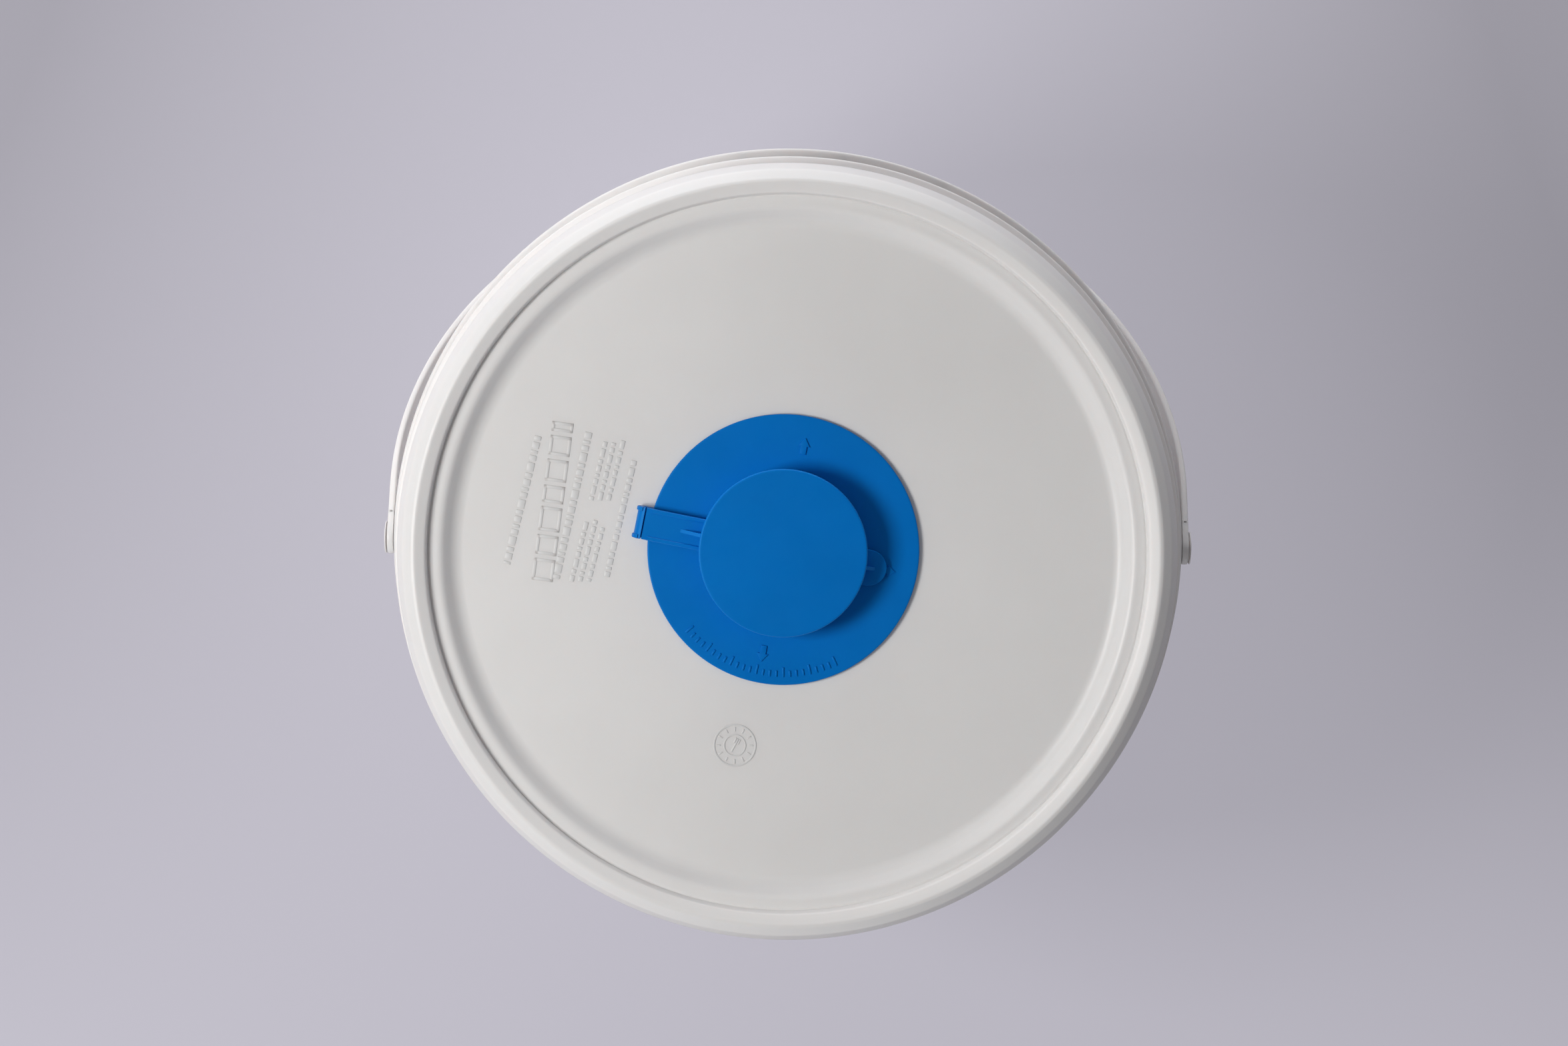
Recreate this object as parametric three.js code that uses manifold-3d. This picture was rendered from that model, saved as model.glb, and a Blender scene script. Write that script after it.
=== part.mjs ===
// Wipes canister: a round tapered pail with a press-on lid, a pull-through closure
// in the lid, a carrying bail and the centre-pull roll of wipes inside.
// Millimetres, +Z up. The pail stands on its foot ring, with the origin on the floor
// under its axis, the bail's pivots on X and the folded bail on the +Y side.
import * as THREE from "three";
import { mergeVertices } from "three/addons/utils/BufferGeometryUtils.js";
import Module from "manifold-3d";

const wasm = await Module();
wasm.setup();

// Driving dimensions

const seatGap = 0.3; // between pieces that rest on or in each other
const roundSides = 48; // facets of the pail and the lid
const smallSides = 40; // facets of the closure
const rollSides = 36; // facets of the roll

// Pail
const footR = 85; // outer radius at the floor
const neckR = 98.6; // outer radius of the neck that the lid grips
const pailWall = 1.6;
const ledgeZ = 155.5; // top of the collar's ledge
const neckHeight = 32.6; // from the ledge to the rim
const footHeight = 3;
const footWidth = 2.4;
const floorThickness = 2;
const floorCorner = 0.7; // rise of the corner between floor and wall
const beadOut = 1.4; // snap bead round the neck
const beadHeight = 3.6;
const beadBelowRim = 1.6;
const collarOverhang = 8;
const collarDepth = 12;
const collarWall = 1.6;
const gussetCount = 24;
const gussetThickness = 1.2;
const baseRibCount = 10;
const baseRibHeight = 1.8;

// Lid
const lidWall = 1.6;
const crestWidth = 1.2;
const crestInset = 1.1; // middle of the crest, inside the neck's outer face
const shoulderOut = 3.9; // widest part of the lid, outside the neck's outer face
const shoulderDrop = 6;
const skirtStep = 0.7;
const skirtWall = 1.2;
const lipOut = 5.7;
const lipThickness = 1.8;
const skirtDepth = 18; // from the crest to the underside of the lip
const ringDrop = 3.5; // from the crest to the ring inside it
const ringInset = 4.6; // outer edge of that ring
const ringWidth = 3.4;
const panelDrop = 7; // from the crest to the flat panel
const panelWallRun = 2.8;
const plugDepth = 8; // how far the lid's plug reaches into the neck
const plugWall = 1.8;

// Pull-through closure
const closureX = -1;
const closureY = 1.2;
const closureTurn = -10.5; // degrees
const flangeR = 35.75;
const flangeThickness = 1.2;
const holeR = 25; // hole in the lid's panel
const holeGap = 0.4;
const bushWall = 1.4;
const bushDepth = 3.6; // below the panel
const snapOut = 1;
const nozzleR = 19;
const nozzleTopR = 15;
const nozzleHeight = 3.9; // above the flange
const nozzleWall = 1.4;
const mouthR = 4.5;
const slotWidth = 1.4;
const slotReach = 11;
const seatRingHeight = 2.2;
const capR = 22; // rim of the cap's top
const capRim = 0.7; // how far that rim stands out over the wall
const capRimDepth = 2.2;
const capHeight = 9.6;
const capWall = 1.2;
const strapWidth = 8.4;
const strapThickness = 1.2;
const strapEdge = 1.1; // width of the raised edges along the strap
const strapEdgeHeight = 0.4;
const foldR = 2.1; // outer radius of the strap's fold
const foldBeyondFlange = 1.55; // from the flange's edge to the middle of the fold
const tabReach = 5.5;
const tabWidth = 9.4;
const tabLift = 0.8; // above the cap's lower edge, clear of the arrow under it
const ribThickness = 0.9;
const arrowHeight = 0.35;
const arrowTipR = 30;
const arrowLength = 4.3;

// Bail
const pivotBelowLedge = 6;
const pivotR = 3.4;
const pivotGap = 0.35;
const studHeadOut = 1;
const studHeadThickness = 0.8;
const bailGap = 0.35; // between the collar and the bail's legs
const bailThickness = 1.7;
const bailWidth = 9;
const bailLeg = 14; // straight part beside the collar
const bailSwingGap = 2.8; // between the lid and the bail as it swings over
const bailRestGap = 0.4; // between the folded bail and the pail's wall
const gripSpan = 31; // half angle of the grip, in degrees
const gripWidth = 16;
const gripThickness = 3;
const gripRibs = 13;
const gripRibHeight = 0.7;

// Roll of wipes
const rollGap = 3.5; // between the roll and the pail's wall at the floor
const rollHeadroom = 26; // between the roll and the closure above it
const coreR = 22;
const turnRipple = 0.7;
const turnRipples = 5;

// Places that follow from the sizes above

const rimZ = ledgeZ + neckHeight;
const crestZ = rimZ + seatGap + lidWall;
const panelZ = crestZ - panelDrop;
const floorZ = footHeight + floorThickness;
const collarR = neckR + collarOverhang;
const wallTaper = (neckR - footR) / ledgeZ;
const wallRAt = (z) => footR + wallTaper * z;
const pivotZ = ledgeZ - pivotBelowLedge;
const bailInnerR = collarR + bailGap;
const flangeZ = panelZ + seatGap;
const bushBottom = -(seatGap + lidWall + bushDepth); // below the flange's underside
const strapTop = 2 * foldR;
const foldX = -(flangeR + foldBeyondFlange);
const capWallR = capR - capRim;

// Shapes

// A closed geometry as a solid that can be joined and cut.
function solid(geometry) {
  const bare = geometry.clone();
  bare.deleteAttribute("normal");
  bare.deleteAttribute("uv");
  const merged = mergeVertices(bare, 1e-4);
  return new wasm.Manifold(
    new wasm.Mesh({
      numProp: 3,
      vertProperties: merged.attributes.position.array,
      triVerts: new Uint32Array(merged.index.array),
    }),
  );
}

// A solid back as a geometry for a mesh.
function geometryOf(made) {
  const mesh = made.getMesh();
  const geometry = new THREE.BufferGeometry();
  geometry.setAttribute("position", new THREE.BufferAttribute(mesh.vertProperties, 3));
  geometry.setIndex(new THREE.BufferAttribute(mesh.triVerts, 1));
  const flat = geometry.toNonIndexed();
  flat.computeVertexNormals();
  return flat;
}

// Turns a profile of [radius, height] points about Z.
function revolve(profile, sides) {
  const points = profile.map(([r, z]) => new THREE.Vector2(r, z));
  return solid(new THREE.LatheGeometry(points, sides).rotateX(Math.PI / 2));
}

// Closes a ring's profile on its first point.
const ring = (profile) => [...profile, profile[0]];

function extrusion(outline, depth) {
  const shape = new THREE.Shape(outline.map(([x, y]) => new THREE.Vector2(x, y)));
  return new THREE.ExtrudeGeometry(shape, { depth, bevelEnabled: false });
}

// A rib of even thickness standing in the plane of X and Z, turned about Z to an angle.
function uprightRib(outline, thickness, degrees = 0) {
  return solid(
    extrusion(outline, thickness)
      .translate(0, 0, -thickness / 2)
      .rotateX(Math.PI / 2)
      .rotateZ(THREE.MathUtils.degToRad(degrees)),
  );
}

function rod(radius, length, x, y, z, sides = 24) {
  return new THREE.CylinderGeometry(radius, radius, length, sides).translate(x, y, z);
}

// Points of an arc in a plane, from one angle to another in degrees.
function arc(centreX, centreY, radius, from, to, steps) {
  return Array.from({ length: steps + 1 }, (_, i) => {
    const a = THREE.MathUtils.degToRad(from + ((to - from) * i) / steps);
    return [centreX + radius * Math.cos(a), centreY + radius * Math.sin(a)];
  });
}

// Skins a row of closed sections and caps both ends.
function loft(sections) {
  const sides = sections[0].length;
  const last = (sections.length - 1) * sides;
  const index = [];
  for (let row = 0; row < last; row += sides)
    for (let j = 0; j < sides; j++) {
      const k = (j + 1) % sides;
      index.push(row + j, row + sides + k, row + k);
      index.push(row + j, row + sides + j, row + sides + k);
    }
  for (let j = 1; j < sides - 1; j++) {
    index.push(0, j, j + 1);
    index.push(last, last + j + 1, last + j);
  }
  const geometry = new THREE.BufferGeometry();
  geometry.setAttribute("position", new THREE.Float32BufferAttribute(sections.flat(2), 3));
  geometry.setIndex(index);
  return solid(geometry);
}

const joined = (solids) => solids.reduce((whole, piece) => whole.add(piece));

function named(name, made, material) {
  const mesh = new THREE.Mesh(geometryOf(made), material);
  mesh.name = name;
  return mesh;
}

// Materials

const whitePlastic = new THREE.MeshStandardMaterial({ color: 0xe9e6ea, roughness: 0.42, metalness: 0 });
const lidPlastic = new THREE.MeshStandardMaterial({ color: 0xe6e2e6, roughness: 0.45, metalness: 0 });
const bluePlastic = new THREE.MeshStandardMaterial({ color: 0x2f6fb8, roughness: 0.4, metalness: 0 });
const nonwoven = new THREE.MeshStandardMaterial({ color: 0xf1f1ef, roughness: 0.95, metalness: 0 });

// Pail

// One moulding: the wall tapers to a foot ring with a raised floor, and the neck above
// the collar carries the bead that the lid snaps over.
function pailShell() {
  const underLedge = ledgeZ - collarWall;
  const beadTop = rimZ - beadBelowRim;
  const beadR = neckR + beadOut;
  const footInnerR = footR - footWidth;
  return revolve(
    [
      [0, footHeight],
      [footInnerR - footHeight / 3, footHeight],
      [footInnerR, 0],
      [footR - 0.6, 0],
      [wallRAt(0.6), 0.6],
      [wallRAt(underLedge), underLedge],
      [collarR - collarWall, underLedge],
      [collarR - collarWall, ledgeZ - collarDepth],
      [collarR, ledgeZ - collarDepth],
      [collarR, ledgeZ - 0.6],
      [collarR - 0.6, ledgeZ],
      [neckR, ledgeZ],
      [neckR, beadTop - beadHeight],
      [beadR, beadTop - beadHeight + beadOut / 2],
      [beadR, beadTop - beadOut],
      [neckR, beadTop],
      [neckR, rimZ - 0.4],
      [neckR - 0.4, rimZ],
      [neckR - pailWall + 0.4, rimZ],
      [neckR - pailWall, rimZ - 0.4],
      [neckR - pailWall, ledgeZ],
      [wallRAt(floorZ + floorCorner) - pailWall, floorZ + floorCorner],
      [wallRAt(floorZ) - pailWall - floorCorner, floorZ],
      [0, floorZ],
    ],
    roundSides,
  );
}

// Webs under the collar, between its skirt and the wall.
function collarGussets() {
  const top = ledgeZ - collarWall / 2;
  const bottom = ledgeZ - collarDepth + 2;
  const outline = [
    [wallRAt(bottom) - pailWall / 2, bottom],
    [collarR - collarWall / 2, bottom],
    [collarR - collarWall / 2, top],
    [wallRAt(top) - pailWall / 2, top],
  ];
  return Array.from({ length: gussetCount }, (_, i) =>
    uprightRib(outline, gussetThickness, ((i + 0.5) * 360) / gussetCount),
  );
}

// Radial ribs under the floor.
function baseRibs() {
  const outline = [
    [12, footHeight - baseRibHeight],
    [footR - footWidth / 2, footHeight - baseRibHeight],
    [footR - footWidth / 2, footHeight + floorThickness / 2],
    [12, footHeight + floorThickness / 2],
  ];
  return Array.from({ length: baseRibCount }, (_, i) =>
    uprightRib(outline, gussetThickness, (i * 360) / baseRibCount),
  );
}

// The ear behind each pivot, and the headed stud that the bail's eye snaps over.
function bailStud(side) {
  const top = ledgeZ - collarWall / 2;
  const bottom = ledgeZ - collarDepth;
  const innerR = wallRAt(bottom) - pailWall / 2;
  const outerR = collarR - collarWall / 2;
  const ear = new THREE.BoxGeometry(outerR - innerR, 2 * pivotR + 5, top - bottom).translate(
    (side * (innerR + outerR)) / 2,
    0,
    (top + bottom) / 2,
  );
  const headR = bailInnerR + bailThickness + pivotGap;
  const along = (radius, from, to) =>
    solid(rod(radius, to - from, 0, side * -(from + to) / 2, 0).rotateZ(Math.PI / 2).translate(0, 0, pivotZ));
  return [
    solid(ear),
    along(pivotR, outerR - 0.5, headR + studHeadThickness / 2),
    along(pivotR + studHeadOut, headR, headR + studHeadThickness),
  ];
}

function pail() {
  return joined([pailShell(), ...collarGussets(), ...baseRibs(), ...bailStud(1), ...bailStud(-1)]);
}

// Lid

// One moulding: flat panel, a stepped ring, the crest that sits on the pail's rim, the
// plug inside the neck and the outer skirt with its lip.
function lid() {
  const crestMid = neckR - crestInset;
  const shoulderR = neckR + shoulderOut;
  const skirtR = shoulderR - skirtStep;
  const lipR = neckR + lipOut;
  const ringOuter = neckR - ringInset;
  const ringInner = ringOuter - ringWidth;
  const ringZ = crestZ - ringDrop;
  const lipZ = crestZ - skirtDepth;
  const hookR = neckR + beadOut + seatGap;
  const channelZ = rimZ + seatGap;
  const plugR = neckR - pailWall - seatGap;
  const plugZ = channelZ - plugDepth - seatGap;
  const body = revolve(
    [
      [0, panelZ - lidWall],
      [ringInner - panelWallRun + 0.6, panelZ - lidWall],
      [ringInner + 0.5, ringZ - lidWall],
      [plugR - plugWall, ringZ - lidWall],
      [plugR - plugWall, plugZ],
      [plugR - plugWall / 2, plugZ],
      [plugR, plugZ + 2],
      [plugR, channelZ],
      [neckR + seatGap, channelZ],
      [skirtR - skirtWall, crestZ - shoulderDrop + 0.4],
      [skirtR - skirtWall, lipZ + 5],
      [hookR, lipZ + 4.4],
      [hookR, lipZ + 2],
      [hookR + 0.9, lipZ],
      [lipR - 0.3, lipZ],
      [lipR, lipZ + 0.4],
      [lipR, lipZ + lipThickness - 0.4],
      [lipR - 0.4, lipZ + lipThickness],
      [skirtR, lipZ + lipThickness + 0.9],
      [skirtR, crestZ - shoulderDrop - 2],
      [shoulderR, crestZ - shoulderDrop - 1.3],
      [shoulderR, crestZ - shoulderDrop],
      [shoulderR - 0.5, crestZ - shoulderDrop + 1.9],
      [shoulderR - 1.7, crestZ - shoulderDrop + 3.6],
      [crestMid + crestWidth / 2 + 0.7, crestZ - 0.5],
      [crestMid + crestWidth / 2 - 0.2, crestZ],
      [crestMid - crestWidth / 2 + 0.2, crestZ],
      [crestMid - crestWidth / 2 - 0.2, crestZ - 0.3],
      [ringOuter + 0.35, ringZ - 0.5],
      [ringOuter - 0.1, ringZ],
      [ringInner, ringZ],
      [ringInner - panelWallRun + 0.4, panelZ + 0.2],
      [ringInner - panelWallRun, panelZ],
      [0, panelZ],
    ],
    roundSides,
  );
  const hole = rod(holeR, lidWall * 3, 0, 0, 0, smallSides).rotateX(Math.PI / 2);
  return body.subtract(solid(hole.translate(closureX, closureY, panelZ - lidWall / 2)));
}

// Closure

// Everything here is in the closure's own frame: Z from the flange's underside, the
// strap along -X and the thumb tab along +X.

// An arrow lying on the flange, pointing outwards along X.
function arrow(degrees) {
  const head = arrowLength / 2;
  const outline = [
    [arrowTipR, 0],
    [arrowTipR - head, head * 0.7],
    [arrowTipR - head, head * 0.36],
    [arrowTipR - arrowLength, head * 0.36],
    [arrowTipR - arrowLength, -head * 0.36],
    [arrowTipR - head, -head * 0.36],
    [arrowTipR - head, -head * 0.7],
  ];
  return solid(
    extrusion(outline, arrowHeight + flangeThickness / 2)
      .translate(0, 0, flangeThickness / 2)
      .rotateZ(THREE.MathUtils.degToRad(degrees)),
  );
}

// The tail of the strap: out from the flange, round the fold and back to the hinge line.
function foldedTail() {
  const split = foldX - seatGap / 2;
  const upTo = 90 + THREE.MathUtils.radToDeg(Math.asin(seatGap / 2 / foldR));
  const outline = (outer) => [
    [-(flangeR - 1), 0],
    [-(flangeR - 1), strapThickness],
    ...arc(foldX, foldR, foldR - strapThickness, 270, 90, 8).slice(0, -1),
    [split, strapTop - strapThickness],
    ...arc(foldX, foldR, outer, upTo, 270, 10),
  ];
  const band = uprightRib(outline(foldR), strapWidth);
  const edges = [-1, 1].map((side) => {
    const raised = [
      ...arc(foldX, foldR, foldR - strapThickness / 2, 250, 125, 6),
      ...arc(foldX, foldR, foldR + strapEdgeHeight, 125, 250, 8),
    ];
    const geometry = extrusion(raised, strapEdge)
      .translate(0, 0, -strapEdge / 2)
      .rotateX(Math.PI / 2)
      .translate(0, (side * (strapWidth - strapEdge)) / 2, 0);
    return solid(geometry);
  });
  return [band, ...edges];
}

// Flange, the bush that snaps through the lid, and the tapered nozzle whose mouth and
// four slots grip the wipe.
function dispenserBase() {
  const top = flangeThickness + nozzleHeight;
  const bushR = holeR - holeGap;
  const snapTop = -(seatGap + lidWall + seatGap);
  const seatR = capWallR - capWall - seatGap;
  const seatZ = flangeThickness + seatRingHeight;
  const body = revolve(
    ring([
      [bushR - bushWall, bushBottom],
      [bushR, bushBottom],
      [bushR + snapOut, snapTop - snapOut],
      [bushR + snapOut, snapTop],
      [bushR, snapTop],
      [bushR, 0],
      [flangeR - 0.3, 0],
      [flangeR, 0.3],
      [flangeR, flangeThickness - 0.4],
      [flangeR - 0.4, flangeThickness],
      [seatR, flangeThickness],
      [seatR, seatZ - 0.4],
      [seatR - 0.4, seatZ],
      [nozzleR, seatZ],
      [nozzleTopR + 0.6, top - 0.4],
      [nozzleTopR - 0.4, top],
      [mouthR + 0.5, top],
      [mouthR, top - 0.5],
      [mouthR, top - nozzleWall],
      [nozzleTopR - nozzleWall, top - nozzleWall],
      [nozzleR - nozzleWall, seatZ - nozzleWall],
      [bushR - bushWall, -seatGap],
    ]),
    smallSides,
  );
  const slots = [0, 90].map((turn) =>
    solid(
      new THREE.BoxGeometry(2 * slotReach, slotWidth, nozzleWall * 3)
        .rotateZ(THREE.MathUtils.degToRad(turn))
        .translate(0, 0, top),
    ),
  );
  const arrows = [0, 90, 180, 270].map(arrow);
  return slots.reduce(
    (made, slot) => made.subtract(slot),
    joined([body, ...arrows, ...foldedTail()]),
  );
}

// Snap cap with its thumb tab and the strap up to the hinge line, in one moulding.
function dispenserCap() {
  const bottom = flangeThickness + seatGap;
  const top = flangeThickness + capHeight;
  const shell = revolve(
    [
      [0, top - capWall],
      [capWallR - capWall, top - capWall],
      [capWallR - capWall, bottom],
      [capWallR - 0.2, bottom],
      [capWallR, bottom + 0.2],
      [capWallR, top - capRimDepth],
      [capR, top - capRimDepth + capRim],
      [capR, top - 0.8],
      [capR - 0.25, top - 0.25],
      [capR - 0.8, top],
      [0, top],
    ],
    smallSides,
  );
  const rootX = -(capWallR - capWall * 0.6);
  const strapEnd = foldX + seatGap / 2;
  const strapBottom = strapTop - strapThickness;
  const lengthwise = (from, to, width, low, high, y) =>
    solid(
      new THREE.BoxGeometry(to - from, width, high - low).translate((from + to) / 2, y, (low + high) / 2),
    );
  const strap = lengthwise(strapEnd, rootX, strapWidth, strapBottom, strapTop, 0);
  const edges = [-1, 1].map((side) =>
    lengthwise(
      strapEnd + 2 * strapEdgeHeight,
      rootX,
      strapEdge,
      strapTop - strapThickness / 2,
      strapTop + strapEdgeHeight,
      (side * (strapWidth - strapEdge)) / 2,
    ),
  );
  const strapRib = uprightRib(
    [
      [-(capR + 6), strapTop - 0.3],
      [rootX, strapTop - 0.3],
      [rootX, strapTop + 3.6],
    ],
    ribThickness,
  );
  const tabBottom = bottom + tabLift;
  const tabTop = tabBottom + strapThickness;
  const tabEnd = capR + tabReach;
  const tabOutline = [
    [-rootX, -tabWidth / 2],
    ...arc(tabEnd - tabWidth / 2, 0, tabWidth / 2, -90, 90, 10),
    [-rootX, tabWidth / 2],
  ];
  const tab = solid(extrusion(tabOutline, strapThickness).translate(0, 0, tabBottom));
  const tabRib = uprightRib(
    [
      [-rootX, tabTop - 0.3],
      [capR + 2.8, tabTop - 0.3],
      [-rootX, tabTop + 3.6],
    ],
    ribThickness,
  );
  return joined([shell, strap, ...edges, strapRib, tab, tabRib]);
}

// Bail

const lidReach = Math.hypot(neckR + shoulderOut, crestZ - shoulderDrop - pivotZ);
const bailReach = lidReach + bailSwingGap; // from the pivots to the inside of the grip

// How far the bail hangs below level before its grip meets the tapering wall.
function bailRestAngle() {
  const half = gripWidth / 2;
  const level = bailReach + wallTaper * half;
  const drop = wallTaper * bailReach - half;
  const wall = footR + bailRestGap + wallTaper * pivotZ;
  return Math.acos(wall / Math.hypot(level, drop)) + Math.atan2(drop, level);
}

// A place on the inside of the bail, in its own plane: straight legs, then half an ellipse.
function bailPoint(degrees) {
  const a = THREE.MathUtils.degToRad(degrees);
  const arcReach = bailReach - bailLeg;
  const x = bailInnerR * Math.cos(a);
  const y = bailLeg + arcReach * Math.sin(a);
  const normal = new THREE.Vector2(Math.cos(a) / bailInnerR, Math.sin(a) / arcReach).normalize();
  return { x, y, normal };
}

// A band section: bevelled rectangle from the inside face outwards.
function bailSection({ x, y, normal }, thickness, width) {
  const bevel = 0.4;
  const half = width / 2;
  const corners = [
    [0, -half + bevel],
    [bevel, -half],
    [thickness - bevel, -half],
    [thickness, -half + bevel],
    [thickness, half - bevel],
    [thickness - bevel, half],
    [bevel, half],
    [0, half - bevel],
  ];
  return corners.map(([out, z]) => [x + normal.x * out, y + normal.y * out, z]);
}

// Angles along the arc with the grip's thickness and width at each.
function bailStations() {
  const stations = [];
  const legEnd = 90 - gripSpan;
  const plainSteps = 5;
  for (let i = 0; i < plainSteps; i++)
    stations.push([(legEnd * i) / plainSteps, bailThickness, bailWidth]);
  const pitch = (2 * gripSpan) / gripRibs;
  for (let i = 0; i < gripRibs; i++) {
    const start = legEnd + pitch * i;
    const end = i === 0 || i === gripRibs - 1;
    const width = end ? (bailWidth + gripWidth) / 2 : gripWidth;
    const thickness = end ? (bailThickness + gripThickness) / 2 : gripThickness;
    const raised = end ? 0 : gripRibHeight;
    stations.push([start + pitch * 0.2, thickness, width]);
    stations.push([start + pitch * 0.4, thickness + raised, width]);
    stations.push([start + pitch * 0.6, thickness + raised, width]);
    stations.push([start + pitch * 0.8, thickness, width]);
  }
  for (let i = plainSteps - 1; i >= 0; i--)
    stations.push([180 - (legEnd * i) / plainSteps, bailThickness, bailWidth]);
  return stations;
}

function bail() {
  const legFoot = (side) => ({ x: side * bailInnerR, y: 0, normal: new THREE.Vector2(side, 0) });
  const band = loft([
    bailSection(legFoot(1), bailThickness, bailWidth),
    ...bailStations().map(([degrees, thickness, width]) =>
      bailSection(bailPoint(degrees), thickness, width),
    ),
    bailSection(legFoot(-1), bailThickness, bailWidth),
  ]);
  const middle = bailInnerR + bailThickness / 2;
  const eye = (side, radius, length) =>
    solid(rod(radius, length, 0, 0, 0).rotateZ(Math.PI / 2).translate(side * middle, 0, 0));
  const lobes = [1, -1].map((side) => eye(side, bailWidth / 2, bailThickness));
  return [1, -1].reduce(
    (made, side) => made.subtract(eye(side, pivotR + pivotGap, 3 * bailThickness)),
    joined([band, ...lobes]),
  );
}

// Roll of wipes

// A hollow roll that stands on the floor; its turns show as low rings on both ends.
function wipesRoll() {
  const bottom = floorZ + seatGap;
  const top = flangeZ + bushBottom - rollHeadroom;
  const rollR = wallRAt(floorZ) - pailWall - rollGap;
  const pitch = (rollR - coreR) / turnRipples;
  const endRings = (z, inward) => {
    const points = [];
    for (let i = 0; i < turnRipples; i++) {
      points.push([coreR + pitch * (i + 0.12), z]);
      points.push([coreR + pitch * (i + 0.88), z]);
      if (i < turnRipples - 1) points.push([coreR + pitch * (i + 1), z + inward * turnRipple]);
    }
    return points;
  };
  return revolve(
    ring([
      [coreR, bottom + 1],
      ...endRings(bottom, 1),
      [rollR, bottom + 1],
      [rollR, top - 1],
      ...endRings(top, -1).reverse(),
      [coreR, top - 1],
    ]),
    rollSides,
  );
}

// Assembly

const canister = new THREE.Group();
canister.add(named("pail", pail(), whitePlastic));
canister.add(named("wipes_roll", wipesRoll(), nonwoven));
canister.add(named("lid", lid(), lidPlastic));

const closure = new THREE.Group();
closure.position.set(closureX, closureY, flangeZ);
closure.rotation.z = THREE.MathUtils.degToRad(closureTurn);
closure.add(named("dispenser_base", dispenserBase(), bluePlastic));
closure.add(named("dispenser_cap", dispenserCap(), bluePlastic));
canister.add(closure);

const handle = named("handle", bail(), whitePlastic);
handle.position.z = pivotZ;
handle.rotation.x = -bailRestAngle();
canister.add(handle);

export default canister;
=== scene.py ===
import math

import bmesh
import bpy
from mathutils import Matrix, Vector


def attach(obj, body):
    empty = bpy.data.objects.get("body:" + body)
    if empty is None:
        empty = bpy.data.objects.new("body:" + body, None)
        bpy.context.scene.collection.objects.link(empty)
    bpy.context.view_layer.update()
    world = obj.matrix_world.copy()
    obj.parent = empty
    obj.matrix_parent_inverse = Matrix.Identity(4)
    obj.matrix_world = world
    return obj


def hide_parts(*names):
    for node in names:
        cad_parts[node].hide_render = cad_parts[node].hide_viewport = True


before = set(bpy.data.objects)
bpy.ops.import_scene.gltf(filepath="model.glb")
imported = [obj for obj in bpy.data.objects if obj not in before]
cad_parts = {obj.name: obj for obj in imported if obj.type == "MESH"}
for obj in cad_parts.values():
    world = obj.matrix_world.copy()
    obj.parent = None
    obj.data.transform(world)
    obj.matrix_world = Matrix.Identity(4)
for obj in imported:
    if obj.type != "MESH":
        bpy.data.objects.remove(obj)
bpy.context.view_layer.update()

# The studio: the canister stands on a pale lavender-grey sheet, seen from above so that
# the lid faces the camera as in the photograph. A softbox stands on the left, low strips
# light the skirt from behind and in front, and the room gives an even fill. Sizes of the
# pieces are in mm, and those of the sheet and the lamps in metres.
MM = 0.001
CREST_Z = 190.0
CAMERA_DISTANCE = 966.7
CAMERA_LENS = 85.0
SENSOR_WIDTH = 36
CAMERA_ROLL = 0.77
CAMERA_LEAN_RIGHT = 0.3
CAMERA_LEAN_UP = 4.98
CREST_RIGHT_OF_MIDDLE = 0.78
CREST_BELOW_MIDDLE = 8.8
SHEET_HALF = 6.0
SHEET_COLOUR = (0.60, 0.585, 0.665)
SHEET_GLOW = (0.985, 0.955, 1.08)
SHEET_GLOW_SHARE = 0.62
SHEET_LEVEL = 0.575
SHEET_LEVEL_TILT = -0.08
SHEET_LEVEL_LOW = 0.32
SHEET_LEVEL_HIGH = 0.68
SHEET_DIMMING = 2.9
SHEET_DIMMING_TILT = 15.5
SHEET_FADE_START = 0.32
SHEET_FADE_WIDTH = 0.45
SHEET_FAR_LEVEL = 0.52
ROOM_COLOUR = (0.97, 0.95, 0.98)
ROOM_STRENGTH = 0.22


def add_node(tree, kind, inputs=None, **settings):
    """Adds a shader node; an input is a value, or an output to link from."""
    made = tree.nodes.new(kind)
    for key, value in settings.items():
        setattr(made, key, value)
    for key, value in (inputs or {}).items():
        if isinstance(value, bpy.types.NodeSocket):
            tree.links.new(value, made.inputs[key])
        else:
            made.inputs[key].default_value = value
    return made


def new_material(name, colour, roughness):
    material = bpy.data.materials.new(name)
    material.use_nodes = True
    shader = material.node_tree.nodes["Principled BSDF"]
    shader.inputs["Base Color"].default_value = (*colour, 1)
    shader.inputs["Roughness"].default_value = roughness
    return material, material.node_tree, shader


def colour_ramp(tree, factor, stops):
    ramp = add_node(tree, "ShaderNodeValToRGB", {"Fac": factor})
    elements = ramp.color_ramp.elements
    while len(elements) < len(stops):
        elements.new(0.5)
    for element, (place, colour) in zip(elements, stops):
        element.position = place
        element.color = (*colour, 1)
    return ramp.outputs["Color"]


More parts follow.
